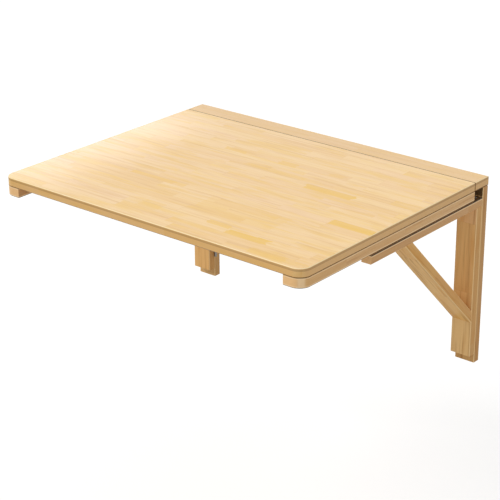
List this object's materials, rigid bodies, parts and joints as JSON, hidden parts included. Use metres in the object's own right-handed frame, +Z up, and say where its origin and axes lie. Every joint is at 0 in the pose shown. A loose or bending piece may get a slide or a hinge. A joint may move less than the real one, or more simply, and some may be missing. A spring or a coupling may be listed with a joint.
{
  "type": "wall mounted drop leaf table",
  "caption": "Wooden wall table: a leaf with rounded corners hinged to a wall ledge, on two swinging braced brackets hinged to wall posts.",
  "frame": {"origin": "centre of the four wall screws of the posts, on the wall face", "axes": "+Z up, +Y into the wall, X along the wall"},
  "size_m": [0.75, 0.6, 0.405],
  "materials": {
    "top_boards": "clear gloss lacquer",
    "battens": "clear gloss lacquer",
    "frame_wood": "clear gloss lacquer",
    "hinge_plates": "bright zinc plate",
    "hinge_pins": "bright zinc plate",
    "rest_pads": "pressed felt"
  },
  "bodies": {
    "wall_frame": {"bracket_hinge_pin_lower_left": "hinge_pins", "bracket_hinge_pin_lower_right": "hinge_pins", "bracket_hinge_pin_upper_left": "hinge_pins", "bracket_hinge_pin_upper_right": "hinge_pins", "bracket_hinge_post_plate_lower_left": "hinge_plates", "bracket_hinge_post_plate_lower_right": "hinge_plates", "bracket_hinge_post_plate_upper_left": "hinge_plates", "bracket_hinge_post_plate_upper_right": "hinge_plates", "leaf_hinge_fixed_plate_left": "hinge_plates", "leaf_hinge_fixed_plate_middle": "hinge_plates", "leaf_hinge_fixed_plate_right": "hinge_plates", "leaf_hinge_pin_left": "hinge_pins", "leaf_hinge_pin_middle": "hinge_pins", "leaf_hinge_pin_right": "hinge_pins", "wall_ledge": "top_boards", "wall_post_left": "frame_wood", "wall_post_right": "frame_wood", "wall_rail": "frame_wood"},
    "leaf": {"batten_left": "battens", "batten_right": "battens", "leaf_hinge_moving_plate_left": "hinge_plates", "leaf_hinge_moving_plate_middle": "hinge_plates", "leaf_hinge_moving_plate_right": "hinge_plates", "leaf_panel": "top_boards"},
    "left_bracket": {"bracket_arm_left": "frame_wood", "bracket_brace_left": "frame_wood", "bracket_hinge_stile_plate_lower_left": "hinge_plates", "bracket_hinge_stile_plate_upper_left": "hinge_plates", "bracket_stile_left": "frame_wood", "rest_pads_left": "rest_pads"},
    "right_bracket": {"bracket_arm_right": "frame_wood", "bracket_brace_right": "frame_wood", "bracket_hinge_stile_plate_lower_right": "hinge_plates", "bracket_hinge_stile_plate_upper_right": "hinge_plates", "bracket_stile_right": "frame_wood", "rest_pads_right": "rest_pads"}
  },
  "joints": [
    {"name": "leaf_hinge", "type": "hinge", "parent": "wall_frame", "child": "leaf", "pos_m": [0, -0.0575, 0.1795], "axis": [-1, 0, 0], "range_deg": [0, 2]},
    {"name": "right_bracket_swing", "type": "hinge", "parent": "wall_frame", "child": "right_bracket", "pos_m": [0.326, -0.0185, 0], "axis": [0, 0, -1], "range_deg": [0, 90]},
    {"name": "left_bracket_swing", "type": "hinge", "parent": "wall_frame", "child": "left_bracket", "pos_m": [-0.326, -0.0185, 0], "axis": [0, 0, 1], "range_deg": [0, 90]}
  ]
}
